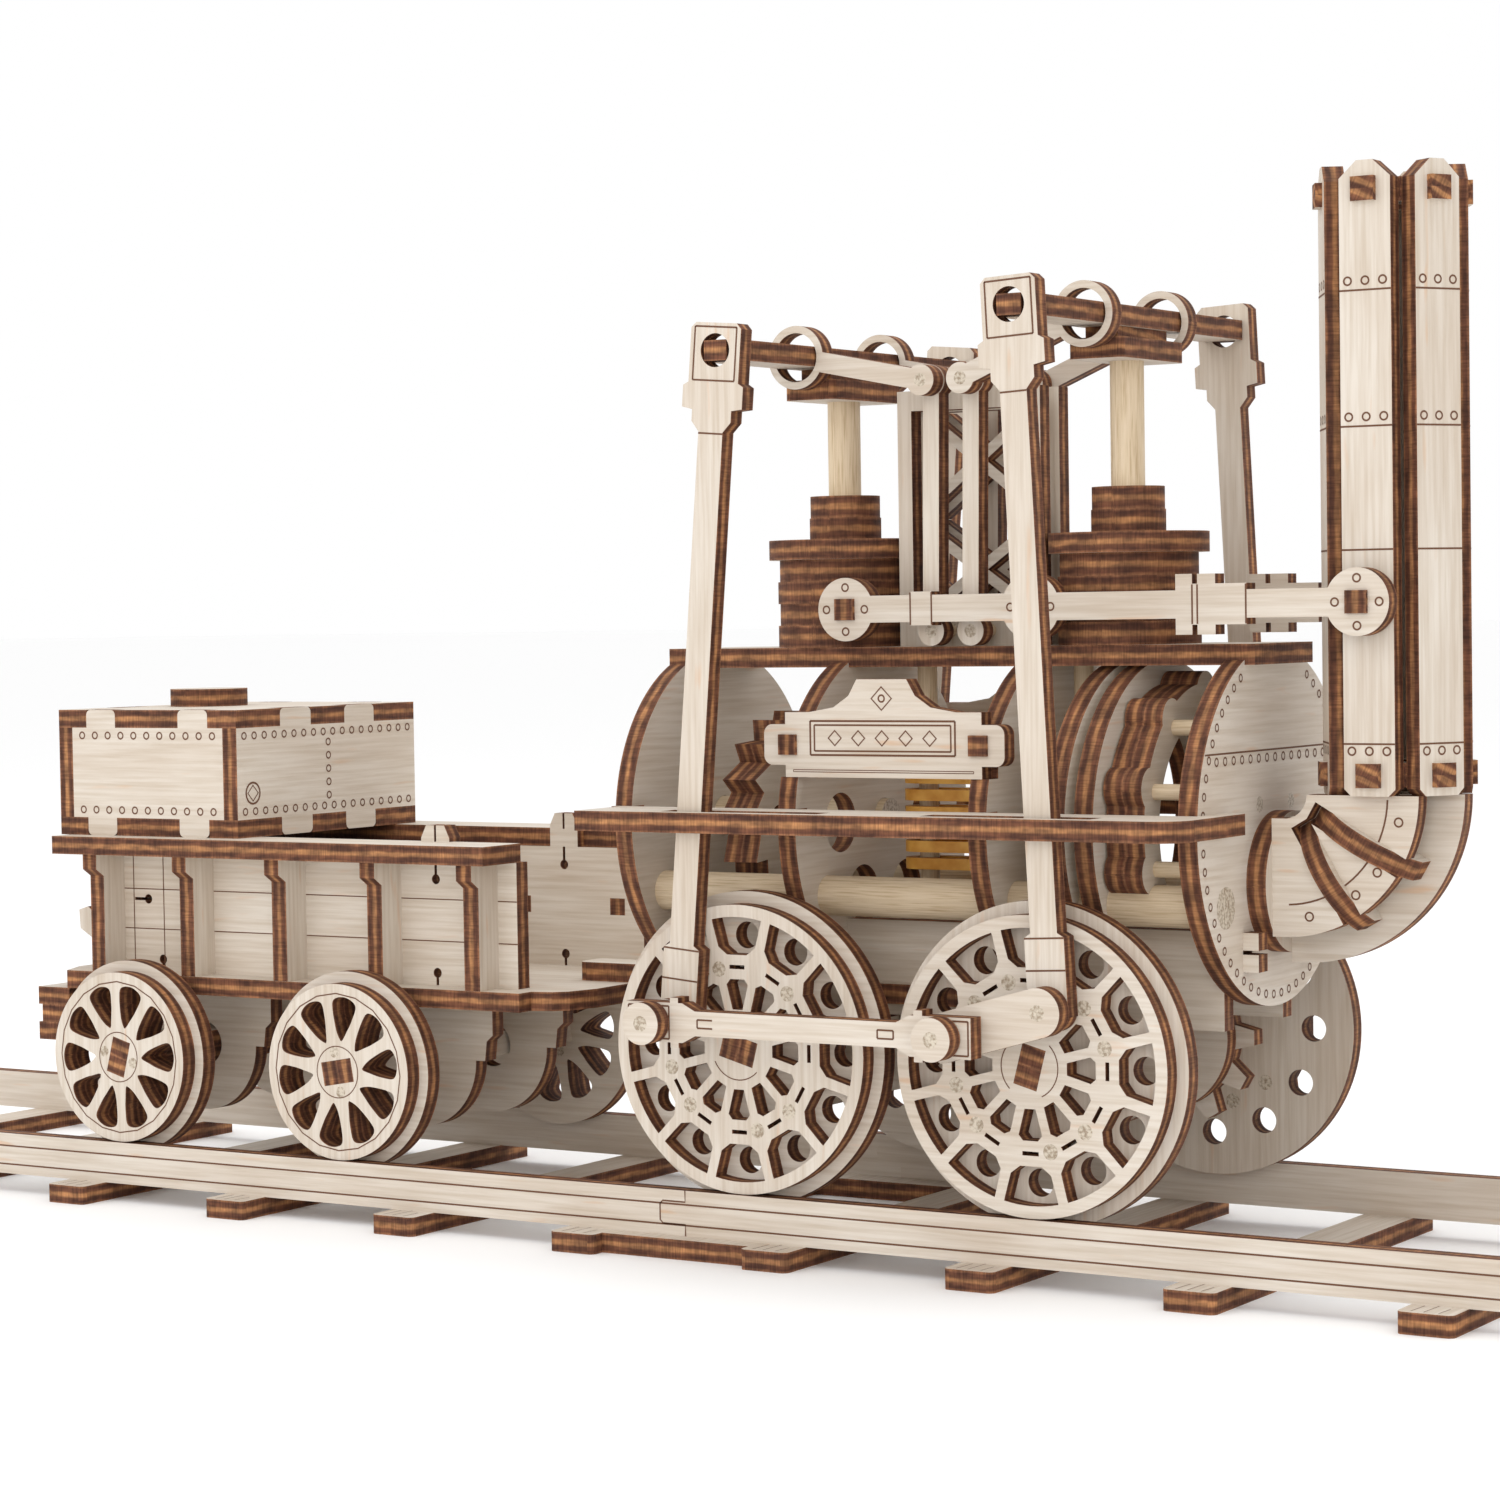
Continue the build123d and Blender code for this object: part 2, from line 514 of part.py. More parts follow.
def build_nameplates():
    """A shaped plate with ears, hung on the two formers by square double tabs."""
    x0, x1 = FORMERS_X[0] + 1.5, FORMERS_X[1] + 1.5
    mid, low = (x0 + x1) / 2, NAMEPLATE_Z
    plate = rect(x0 - 0.5, x1 + 0.5, low, low + 9.6)
    plate += soft_rect(x0 - 4.2, x1 + 4.2, low + 1.8, low + 7.8, 1.4)
    crest = Pos(mid, low) * both_ways((13, 9.5), (8.2, 10.3), (5.6, 12.0), (4.2, 14.4))
    tabs = [rect(x - PLY / 2, x + PLY / 2, low + 3.3, low + 6.3) for x in (x0, x1)]
    save("nameplates", each_side(plate + crest - tabs, NAMEPLATE_Y),
         [piece for tab in tabs for piece in each_side(tab, NAMEPLATE_Y, PLY + 0.5)])


# ---- chimney and pipes --------------------------------------------------------------
def build_chimney():
    """Six staves round two thick hexagonal plates, whose tabs show in the staves."""
    half, tab = STAVE_WIDTH / 2, 1.7
    foot = [(half - 1, CHIMNEY_BOTTOM), (half, CHIMNEY_BOTTOM + 1)]
    stave = both_ways(*foot, (half, CHIMNEY_TOP - 2.4), (1.2, CHIMNEY_TOP))
    stave -= [rect(-tab, tab, z - tab, z + tab) for z in CHIMNEY_TABS_Z]
    blank = side_plate(stave, -CHIMNEY_APOTHEM)
    save("chimney_staves", [Pos(CHIMNEY_X, 0, 0) * Rot(0, 0, 60 * k) * blank for k in range(6)])
    core = RegularPolygon(CHIMNEY_APOTHEM - PLY, 6, major_radius=False)
    core += [Rot(0, 0, 60 * k) * rect(-tab, tab, -CHIMNEY_APOTHEM - 1.0, -3) for k in range(6)]
    core = Pos(CHIMNEY_X, 0) * (core - Circle(3.5))
    layers = [z + offset for z in CHIMNEY_TABS_Z for offset in (-tab, 0)]
    save("chimney_formers", [flat_plate(core, z, tab) for z in layers])


def bend(inner, outer):
    """A quarter ring below and ahead of the bend's centre, with a straight root behind."""
    ring = disc(ELBOW_X, CHIMNEY_BOTTOM, outer) - disc(ELBOW_X, CHIMNEY_BOTTOM, inner)
    ring &= rect(ELBOW_X, ELBOW_X + 30, CHIMNEY_BOTTOM - 30, CHIMNEY_BOTTOM)
    return ring + rect(FRONT_PLATE_X + 2 * PLY, ELBOW_X, CHIMNEY_BOTTOM - outer, CHIMNEY_BOTTOM - inner)


def build_elbow():
    """A middle plate and two cheeks, crossed by ribs that lie square to the bend."""
    angles, rib_half = (-30, -60), PLY / 2
    slot = rect(4.6, 21.4, -rib_half, rib_half)
    slots = [Pos(ELBOW_X, CHIMNEY_BOTTOM) * Rot(0, 0, angle) * slot for angle in angles]
    collar_z = CHIMNEY_BOTTOM - 12.9
    middle = side_plate(bend(3.4, 24.4) - slots, -PLY / 2)
    collar = disc(0, collar_z, 10.2)
    save("elbow_spine", middle, [cross_plate(collar, FRONT_PLATE_X + PLY)])
    save("elbow_cheeks", each_side(bend(3.4, 20.2) - slots, 5.0))
    rib = disc(12.9, 0, 9.6) & rect(4.6, 21.4, -12, 12)
    spread = []
    for angle in angles:
        whole = extrude(rib, rib_half, both=True)
        spread.append(Pos(ELBOW_X, 0, CHIMNEY_BOTTOM) * Rot(0, -angle, 0) * whole)
    save("elbow_ribs", spread)


def build_feed_pipes():
    """A flanged bar each side with three round bosses, pegged to the cylinders and chimney."""
    z = PIPE_Z
    pipe = rect(PIPE_EYES_X[0], PIPE_EYES_X[-1], z - 2.0, z + 2.0)
    for x in PIPE_EYES_X:
        pipe += disc(x, z, 4.75) + Pos(x, z) * both_ways((7.0, -2.0), (4.0, -3.2), (4.0, 3.2), (7.0, 2.0))
    for x, length, half in ((28.8, 3.6, 2.5), (72.2, 2.6, 4.3), (75.6, 2.8, 4.3), (72.2, 11.0, 2.9)):
        pipe += rect(x, x + length, z - half, z + half)
    pegs = []
    for x, inner in zip(PIPE_EYES_X, (8.4, 7.5, CHIMNEY_APOTHEM)):
        peg = rect(x - 1.6, x + 1.6, z - 1.6, z + 1.6)
        pipe -= peg
        pegs += each_side(peg, inner, PIPE_Y + PLY + 0.6 - inner)
    save("feed_pipes", each_side(pipe, PIPE_Y), pegs)


# ---- tender -------------------------------------------------------------------------
def curved_window():
    """One window between two spokes: a point at the hub, rounded corners at the rim."""
    bounds = [(5.1, 0), (6.4, 8), (8, 11), (10.2, 12.3), (11.4, 11), (11.9, 6),
              (11.9, -6), (11.3, -12), (9.8, -13), (7.8, -11.5), (6.2, -8)]
    return make_face(Spline([polar(radius, angle) for radius, angle in bounds], periodic=True))


def build_tender_wheels():
    pins = [disc(0, v, 0.9) for v in (-3.2, 3.2)]
    windows = [Rot(0, 0, 36 * k) * curved_window() for k in range(10)]
    slot = Rectangle(2 * PLY, AXLE_HEIGHT)
    wheel = Circle(TENDER_WHEEL_R) - windows - slot - pins
    flange = Circle(TENDER_FLANGE_R) - windows - slot - pins
    half = rect(0, PLY, -AXLE_HEIGHT / 2, AXLE_HEIGHT / 2)
    for name, turn in (("front", 10), ("rear", 75)):
        place = Pos(TENDER_AXLES[name], TENDER_AXLE_Z) * Rot(0, 0, turn)
        discs = each_side(place * wheel, WHEEL_FACE_Y - PLY) + each_side(place * flange, WHEEL_INNER_Y)
        halves = [place * Rot(0, 0, flip) * half for flip in (0, 180)]
        axle = [side_plate(outline, -WHEEL_FACE_Y, 2 * WHEEL_FACE_Y) for outline in halves]
        pegs = [piece for peg in pins for piece in each_side(place * peg, WHEEL_INNER_Y, 2 * PLY)]
        save(f"tender_{name}_wheelset", discs, axle, pegs)


def tender_sole():
    """The sole board, whose front edge swells forward in the middle."""
    x0 = -134.0
    half = [(x0, -18), (-131, -SOLE_HALF), (-36.4, -SOLE_HALF), (-36.4, -21.2),
            (-33, -20.4), (-31, -18.4), (-29.5, -13)]
    return shape(*half, *[(x, -y) for x, y in reversed(half)])


def build_tender_body():
    floor, wall_out = SOLE_Z + PLY, WALL_Y + PLY
    x0, x1 = WALL_X
    save("tender_sole_board", flat_plate(tender_sole(), SOLE_Z))
    wall = rect(x0, x1, floor, WALL_TOP)
    low_eye, high_eye = floor + 2.0, WALL_TOP - 3.0
    keyholes = ((LOCK_X, low_eye, floor), (LOCK_X, high_eye, WALL_TOP), (-114.0, low_eye, floor))
    for x, z, edge in keyholes:
        wall -= disc(x, z, 0.8) + rect(x - 0.25, x + 0.25, z, edge)
    wall -= disc(-117.0, 48.9, 0.8) + rect(-120.0, -117.0, 48.65, 49.15)
    lock_top = WALL_TOP + PLY + 2.6
    wall += Pos(LOCK_X, 0) * both_ways((2.8, WALL_TOP), (2.8, WALL_TOP + PLY + 0.6), (1.8, lock_top))
    wall -= rect(LOCK_X - 0.2, LOCK_X + 0.2, WALL_TOP + PLY, lock_top)
    wall -= [rect(x - PLY / 2, x + PLY / 2, 45.6, 48.4) for x in POSTS_X]
    cross = rect(-WALL_Y, WALL_Y, floor, WALL_TOP)
    save("tender_walls", each_side(wall, WALL_Y), [cross_plate(cross, x) for x in (-126.0, -96.0)])
    edge = SOLE_HALF - 0.1
    bracket = [(edge, WALL_TOP - 3.8), (edge + 1.8, WALL_TOP - 2.6), (edge + 1.8, WALL_TOP)]
    post = shape((wall_out, floor), (edge, floor), *bracket, (wall_out, WALL_TOP))
    tab = rect(WALL_Y, wall_out + 1, 45.6, 48.4)
    save("tender_posts", [piece for x in POSTS_X for piece in with_mirror(cross_plate(post + tab, x - 1.5))])
    board = rect(*RIM_X, 18.0, 28.0) - rect(LOCK_X - 2.8, LOCK_X + 2.8, WALL_Y, wall_out)
    save("tender_rims", with_mirror(flat_plate(board, WALL_TOP)))


def build_tank():
    """A box of four riveted panels, locked by rounded tabs into a floor and a lid."""
    x0, x1 = TANK_X
    floor = WALL_TOP + PLY
    mid = (x0 + x1) / 2
    side_tabs = (mid - 10.1, mid + 10.1)
    end_tabs = (-8.5, 8.5)
    plate = rect(x0, x1, -TANK_HALF, TANK_HALF)
    for side in (NEAR, FAR):
        plate -= [rect(x - 3.2, x + 3.2, side * (TANK_HALF - PLY), side * TANK_HALF) for x in side_tabs]
    plate -= [rect(x, x + PLY, y - 4, y + 4) for x in (x0, x1 - PLY) for y in end_tabs]
    cap = [flat_plate(disc(mid - 6.6, 0, 6.6), TANK_TOP)]
    save("tank_plates", flat_plate(plate, floor), flat_plate(plate, TANK_TOP - PLY), cap)
    z0, z1 = floor + PLY, TANK_TOP - PLY
    side = rect(x0 + PLY, x1 - PLY, z0, z1)
    side += [soft_rect(x - 3.2, x + 3.2, floor, TANK_TOP, 0.9) for x in side_tabs]
    end = rect(-TANK_HALF, TANK_HALF, z0, z1)
    end += [soft_rect(y - 4, y + 4, floor, TANK_TOP, 0.9) for y in end_tabs]
    save("tank_panels", each_side(side, TANK_HALF - PLY), [cross_plate(end, x) for x in (x0, x1 - PLY)])


def build_tender_chassis():
    guards = []
    for x in TENDER_AXLES.values():
        z = TENDER_AXLE_Z
        guard = both_ways((0, z), (13.0, z), (13.4, z + 3.2), (14.6, z + 4.2), (14.6, SOLE_Z), (0, SOLE_Z))
        guard = Pos(x, 0) * guard + disc(x, z, 11.2) - rect(x - 20, x + 20, SOLE_Z, SOLE_Z + 5)
        guards += each_side(guard - disc(x, z, BEARING_R), 8.3)
    save("axle_guards", guards)
    buffers = []
    for layer in range(3):
        block = rect(-137.5 + 0.8 * (layer % 2), -130.5, 14, 24.5)
        buffers += with_mirror(flat_plate(block, SOLE_Z - PLY * (layer + 1)))
    hook = shape((-133.5, SOLE_Z + PLY), (-130.2, SOLE_Z + PLY),
                 (-130.2, SOLE_Z + 10), (-134.6, SOLE_Z + 13),
                 (-136.6, SOLE_Z + 12.4), (-136.4, SOLE_Z + 9.2), (-133.5, SOLE_Z + 7.5))
    save("tender_buffers", buffers, each_side(hook, 12.0))


# ---- build --------------------------------------------------------------------------
os.makedirs("parts", exist_ok=True)
build_track()
build_loco_wheels()
build_crank_pins()
build_rods()
build_crosshead("front", DECK_TOP + 19.2)
build_crosshead("rear", DECK_TOP + 14.7)
build_cylinders()
build_guides()
build_boiler()
build_motor_rings()
build_winding_gear()
build_rubber_bands()
build_chassis()
save("running_boards", with_mirror(running_board()))
build_nameplates()
build_chimney()
build_elbow()
build_feed_pipes()
build_tender_wheels()
build_tender_body()
build_tank()
build_tender_chassis()
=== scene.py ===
import math

import bpy
import numpy as np
from mathutils import Matrix, Vector


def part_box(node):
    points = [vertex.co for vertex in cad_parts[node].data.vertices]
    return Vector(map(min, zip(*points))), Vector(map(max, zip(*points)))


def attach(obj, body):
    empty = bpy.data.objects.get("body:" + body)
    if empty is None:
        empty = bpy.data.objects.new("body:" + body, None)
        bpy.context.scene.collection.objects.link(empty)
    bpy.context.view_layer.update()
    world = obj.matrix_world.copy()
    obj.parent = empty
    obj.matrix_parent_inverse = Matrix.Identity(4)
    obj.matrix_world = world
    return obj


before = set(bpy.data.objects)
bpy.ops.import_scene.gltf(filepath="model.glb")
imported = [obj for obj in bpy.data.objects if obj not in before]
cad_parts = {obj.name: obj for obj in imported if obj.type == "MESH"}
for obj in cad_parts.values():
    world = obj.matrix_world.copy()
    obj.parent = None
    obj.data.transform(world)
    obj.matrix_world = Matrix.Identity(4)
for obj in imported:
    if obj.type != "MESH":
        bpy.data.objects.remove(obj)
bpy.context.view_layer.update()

# Sizes below are in millimetres unless they end in MM, which turns them into metres.
MM = 0.001
PLY = 3.0
ENGRAVING_LIFT = 0.03        # how far an engraved line's ribbon lies above the wood
LINE_WIDTH = 0.26
RING_WIDTH = 0.25
RIVET_R = 0.55
CRANK_R, ROD_LENGTH = 9.7, 98.1
CRANKS = {"front": (58.0, 60.5), "rear": (9.5, 150.5)}      # axle position and crank angle
WHEELBASE = 48.5
AXLE_Z = 31.3                # height of the locomotive's axles
WHEEL_FACE_Y = 32.9          # outer faces, from the middle of the track
RAIL_FACE_Y = 33.4
ROD_FACE_Y = 36.2
COUPLING_FACE_Y = 42.8
PIPE_FACE_Y = 13.9
PLATE_FACE_Y = 25.2
CHEEK_FACE_Y = 8.0
RAIL_TOP = 9.8
BEND_X, BEND_Z = 86.0, 68.7  # centre of the chimney foot's bend
PIPE_Z = 95.8
CAMERA_PLACE = (0.3032, -0.4894, 0.096)      # metres
LENS = 88.8                  # focal length, on a 36 mm sensor


# ---- camera, light and floor --------------------------------------------------------
def place_camera():
    """Looks from the near side, ahead of the chimney, with a slight roll."""
    yaw, pitch, roll = math.radians(32.5), math.radians(2.17), math.radians(0.9)
    ahead = Vector((-math.sin(yaw) * math.cos(pitch), math.cos(yaw) * math.cos(pitch), -math.sin(pitch)))
    level = Vector((math.cos(yaw), math.sin(yaw), 0))
    upright = level.cross(ahead)
    right = level * math.cos(roll) - upright * math.sin(roll)
    up = upright * math.cos(roll) + level * math.sin(roll)
    data = bpy.data.cameras.new("camera")
    data.sensor_width = 36
    data.lens = LENS
    data.clip_end = 20
    camera = bpy.data.objects.new("camera", data)
    bpy.context.scene.collection.objects.link(camera)
    place = Matrix((right, up, -ahead)).transposed().to_4x4()
    place.translation = Vector(CAMERA_PLACE)
    camera.matrix_world = place
    bpy.context.scene.camera = camera


def area_light(name, place, target, size, watts, colour=(1, 1, 1)):
    data = bpy.data.lights.new(name, "AREA")
    data.shape = "SQUARE"
    data.size, data.energy, data.color = size, watts, colour
    light = bpy.data.objects.new(name, data)
    bpy.context.scene.collection.objects.link(light)
    light.location = place
    light.rotation_euler = (Vector(target) - Vector(place)).to_track_quat("-Z", "Y").to_euler()


def build_studio():
    """A white world, three soft lights and a floor as pale as the background."""
    world = bpy.data.worlds.new("studio")
    world.use_nodes = True
    world.node_tree.nodes["Background"].inputs[0].default_value = (1, 1, 1, 1)
    world.node_tree.nodes["Background"].inputs[1].default_value = 1.0
    bpy.context.scene.world = world
    area_light("key", (-0.35, -0.8, 0.75), (0, 0, 0.05), 0.7, 1.7)
    area_light("top", (0.1, 0.1, 1.0), (0, 0, 0), 0.8, 2.2)
    area_light("fill", (0.45, -1.0, 0.16), (0, 0, 0.07), 0.9, 3.2, (1, 0.93, 0.86))
    bpy.ops.mesh.primitive_plane_add(size=30, location=(0, 0, 0))
    floor = bpy.context.object
    floor.name = "floor"
    floor.data.materials.append(plain("floor_paper", (0.98, 0.98, 0.98), 0.9))
    bpy.context.scene.view_settings.view_transform = "Standard"


# ---- materials ----------------------------------------------------------------------
def new_material(name):
    material = bpy.data.materials.new(name)
    material.use_nodes = True
    return material, material.node_tree, material.node_tree.nodes["Principled BSDF"]


def plain(name, colour, roughness):
    material, _, shader = new_material(name)
    shader.inputs["Base Color"].default_value = (*colour, 1)
    shader.inputs["Roughness"].default_value = roughness
    return material


def node(tree, kind, **settings):
    made = tree.nodes.new(kind)
    for key, value in settings.items():
        setattr(made, key, value)
    return made


def math_node(tree, operation, first, second):
    made = node(tree, "ShaderNodeMath", operation=operation)
    for socket, value in zip(made.inputs, (first, second)):
        if isinstance(value, (int, float)):
            socket.default_value = value
        else:
            tree.links.new(value, socket)
    return made.outputs[0]


def stretched_noise(tree, wood, scale, detail=3.0, roughness=0.55):
    """Noise over the wood's own coordinates, which run along and across the grain."""
    multiply = node(tree, "ShaderNodeVectorMath", operation="MULTIPLY")
    tree.links.new(wood, multiply.inputs[0])
    multiply.inputs[1].default_value = scale
    noise = node(tree, "ShaderNodeTexNoise")
    noise.inputs["Scale"].default_value = 1.0
    noise.inputs["Detail"].default_value = detail
    noise.inputs["Roughness"].default_value = roughness
    tree.links.new(multiply.outputs[0], noise.inputs["Vector"])
    return noise.outputs["Fac"]


def ramp(tree, factor, *stops):
    made = node(tree, "ShaderNodeValToRGB")
    elements = made.color_ramp.elements
    while len(elements) < len(stops):
        elements.new(0.5)
    for element, (position, colour) in zip(elements, stops):
        element.position = position
        element.color = (*colour, 1)
    tree.links.new(factor, made.inputs[0])
    return made.outputs["Color"]


def mix(tree, blend, factor, first, second):
    made = node(tree, "ShaderNodeMix", data_type="RGBA", blend_type=blend)
    for socket, value in ((made.inputs[0], factor), (made.inputs[6], first), (made.inputs[7], second)):
        if isinstance(value, (int, float)):
            socket.default_value = value
        elif isinstance(value, tuple):
            socket.default_value = (*value, 1)
        else:
            tree.links.new(value, socket)
    return made.outputs[2]


def bump(tree, shader, height, strength, distance=0.0002):
    made = node(tree, "ShaderNodeBump")
    made.inputs["Strength"].default_value = strength
    made.inputs["Distance"].default_value = distance
    tree.links.new(height, made.inputs["Height"])
    tree.links.new(made.outputs[0], shader.inputs["Normal"])


def birch_face():
    """Pale rotary-cut birch: fine streaks along the grain, soft clouds and a few warm flecks."""
    material, tree, shader = new_material("birch_face")
    wood = node(tree, "ShaderNodeAttribute", attribute_name="wood").outputs["Vector"]
    streaks = stretched_noise(tree, wood, (60, 1500, 7), 4.0)
    clouds = stretched_noise(tree, wood, (35, 120, 3), 2.0)
    flecks = stretched_noise(tree, wood, (90, 700, 19), 1.0)
    colour = ramp(tree, clouds, (0.3, (0.61, 0.53, 0.445)), (0.7, (0.69, 0.63, 0.555)))
    shade = ramp(tree, streaks, (0.3, (0.84, 0.8, 0.75)), (0.62, (1, 1, 1)))
    colour = mix(tree, "MULTIPLY", 1.0, colour, shade)
    warm = ramp(tree, flecks, (0.68, (0, 0, 0)), (0.8, (0.5, 0.5, 0.5)))
    colour = mix(tree, "MIX", warm, colour, (0.62, 0.38, 0.22))
    tree.links.new(colour, shader.inputs["Base Color"])
    shader.inputs["Roughness"].default_value = 0.62
    shader.inputs["Specular IOR Level"].default_value = 0.3
    bump(tree, shader, streaks, 0.25)
    return material


def burnt_edge():
    """A laser-cut edge: dark outer plies, a golden core ply and fine marks across them."""
    material, tree, shader = new_material("burnt_edge")
    wood = node(tree, "ShaderNodeAttribute", attribute_name="wood").outputs["Vector"]
    parts = node(tree, "ShaderNodeSeparateXYZ")
    tree.links.new(wood, parts.inputs[0])
    across = math_node(tree, "ABSOLUTE", parts.outputs["Y"], 0)
    waver = stretched_noise(tree, wood, (150, 0.8, 5), 3.0)
    waver = math_node(tree, "MULTIPLY", math_node(tree, "SUBTRACT", waver, 0.5), 0.5)
    across = math_node(tree, "ADD", across, waver)
    layers = ramp(tree, across, (0.14, (0.34, 0.165, 0.075)), (0.34, (0.145, 0.06, 0.033)),
                  (0.74, (0.105, 0.041, 0.025)), (0.98, (0.25, 0.115, 0.06)))
    patches = stretched_noise(tree, wood, (240, 1.2, 11), 2.0)
    glow = ramp(tree, patches, (0.36, (0.62, 0.6, 0.62)), (0.72, (1.5, 1.45, 1.3)))
    colour = mix(tree, "MULTIPLY", 1.0, layers, glow)
    marks = stretched_noise(tree, wood, (3600, 0.5, 13), 1.0)
    lines = ramp(tree, marks, (0.35, (0.72, 0.72, 0.72)), (0.65, (1.12, 1.12, 1.12)))
    colour = mix(tree, "MULTIPLY", 1.0, colour, lines)
    tree.links.new(colour, shader.inputs["Base Color"])
    shader.inputs["Roughness"].default_value = 0.75
    shader.inputs["Specular IOR Level"].default_value = 0.25
    bump(tree, shader, marks, 0.3)
    return material


def dowel_wood():
    """Turned beech: long fibres with short dark pores."""
    material, tree, shader = new_material("dowel_wood")
    wood = node(tree, "ShaderNodeAttribute", attribute_name="wood").outputs["Vector"]
    fibres = stretched_noise(tree, wood, (150, 3500, 7), 4.0)
    colour = ramp(tree, fibres, (0.28, (0.47, 0.34, 0.2)), (0.5, (0.66, 0.53, 0.36)),
                  (0.75, (0.74, 0.61, 0.46)))
    tree.links.new(colour, shader.inputs["Base Color"])
    shader.inputs["Roughness"].default_value = 0.6
    bump(tree, shader, fibres, 0.3)
    return material


def dowel_end():
    """The sawn end of a dowel, glued in flush: grey-beige and speckled."""
    material, tree, shader = new_material("dowel_end")
    coordinates = node(tree, "ShaderNodeTexCoord").outputs["Object"]
    noise = node(tree, "ShaderNodeTexNoise")
    noise.inputs["Scale"].default_value = 2200
    noise.inputs["Detail"].default_value = 4
    tree.links.new(coordinates, noise.inputs["Vector"])
    colour = ramp(tree, noise.outputs["Fac"], (0.35, (0.3, 0.23, 0.16)), (0.6, (0.6, 0.53, 0.43)))
    tree.links.new(colour, shader.inputs["Base Color"])
    shader.inputs["Roughness"].default_value = 0.5
    bump(tree, shader, noise.outputs["Fac"], 0.4)
    return material


def rubber():
    material, tree, shader = new_material("amber_rubber")
    coordinates = node(tree, "ShaderNodeTexCoord").outputs["Object"]
    noise = node(tree, "ShaderNodeTexNoise")
    noise.inputs["Scale"].default_value = 400
    tree.links.new(coordinates, noise.inputs["Vector"])
    colour = ramp(tree, noise.outputs["Fac"], (0.3, (0.58, 0.25, 0.03)), (0.7, (0.78, 0.42, 0.08)))
    tree.links.new(colour, shader.inputs["Base Color"])
    shader.inputs["Roughness"].default_value = 0.45
    return material


# ---- which faces are birch, which are cut edges -------------------------------------
FACE, EDGE, ROUND, END = range(4)
EDGE_LIMIT = 3.45            # a flat face no wider than this is a cut edge
CURVED_EDGE_LIMIT = 3.5      # and so is a curved face no longer than this along its axis
DOWEL_LIMIT = 6.2            # a round flat face smaller than this is a dowel's end


def islands(mesh):
    """Groups of polygons that share vertices: one for each face of the CAD solids."""
    parent = list(range(len(mesh.vertices)))

    def root(index):
        while parent[index] != index:
            parent[index] = parent[parent[index]]
            index = parent[index]
        return index

    for polygon in mesh.polygons:
        first = root(polygon.vertices[0])
        for vertex in polygon.vertices[1:]:
            parent[root(vertex)] = first
    groups = {}
    for polygon in mesh.polygons:
        groups.setdefault(root(polygon.vertices[0]), []).append(polygon.index)
    return groups.values()


def spread(points, axis):
    along = points @ axis
    return along.max() - along.min()


def flat_directions(normal):
    """Unit directions in a face's plane: first along the model's axes, then every five degrees."""
    exact = [np.array(axis, float) for axis in ((0, 1, 0), (1, 0, 0), (0, 0, 1))]
    exact += [np.cross(axis, normal) for axis in exact]
    exact = [axis / np.linalg.norm(axis) for axis in exact if np.linalg.norm(axis) > 0.1]
    exact = [axis for axis in exact if abs(axis @ normal) < 0.02]
    first, second = exact[0], np.cross(normal, exact[0])
    turns = np.radians(np.arange(5, 180, 5))
    return exact, [first * math.cos(turn) + second * math.sin(turn) for turn in turns]


def read_face(points, normals, areas):
    """(kind, grain coordinates) of one face, from how wide it is in each direction."""
    mean = (normals * areas[:, None]).sum(0)
    if np.linalg.norm(mean) > 0.9995 * areas.sum():
        normal = mean / np.linalg.norm(mean)
        exact, sampled = flat_directions(normal)
        directions = exact + sampled
        along = points @ np.array(directions).T
        widths = along.max(0) - along.min(0)
        least, most = widths.min(), widths.max()
        disc_share = areas.sum() / (math.pi / 4 * least * most)
        if most < 1.03 * least and abs(disc_share - 1) < 0.04 and most < DOWEL_LIMIT * MM:
            return END, along[:, 0], along[:, 0]
        if least < EDGE_LIMIT * MM:
            axis = directions[int(np.abs(widths - PLY * MM).argmin())]
            return EDGE, points @ np.cross(normal, axis), points @ axis
        axis = max(exact, key=lambda direction: spread(points, direction))
        return FACE, points @ axis, points @ np.cross(normal, axis)
    axis = np.linalg.eigh(normals.T @ (normals * areas[:, None]))[1][:, 0]
    side = np.linalg.svd(axis[None, :])[2][1:]
    flat_points = points @ side.T
    system = np.c_[2 * flat_points, np.ones(len(points))]
    centre = np.linalg.lstsq(system, (flat_points ** 2).sum(1), rcond=None)[0][:2]
    turned = np.arctan2(flat_points[:, 1] - centre[1], flat_points[:, 0] - centre[0])
    radius = np.linalg.norm(flat_points - centre, axis=1).mean()
    if spread(points, axis) < CURVED_EDGE_LIMIT * MM:
        return EDGE, turned * radius, points @ axis
    return ROUND, points @ axis, turned * radius


def dress(piece, materials, seed):
    """Gives each face its material, and its vertices their place along and across the grain."""
    mesh = piece.data
    mesh.materials.clear()
    for material in materials:
        mesh.materials.append(material)
    places = np.empty(len(mesh.vertices) * 3)
    mesh.vertices.foreach_get("co", places)
    places = places.reshape(-1, 3)
    wood = np.zeros_like(places)
    for number, group in enumerate(islands(mesh)):
        polygons = [mesh.polygons[index] for index in group]
        used = sorted({vertex for polygon in polygons for vertex in polygon.vertices})
        normals = np.array([polygon.normal for polygon in polygons])
        areas = np.array([polygon.area for polygon in polygons]) + 1e-12
        kind, along, across = read_face(places[used], normals, areas)
        if kind == EDGE:
            across = across - (across.max() + across.min()) / 2
            across = across / max(abs(across).max(), 1e-6)
        wood[used] = np.c_[along, across, np.full(len(used), seed + 0.61 * (number % 37))]
        for polygon in polygons:
            polygon.material_index = kind
    attribute = mesh.attributes.new("wood", "FLOAT_VECTOR", "POINT")
    attribute.data.foreach_set("vector", wood.ravel())


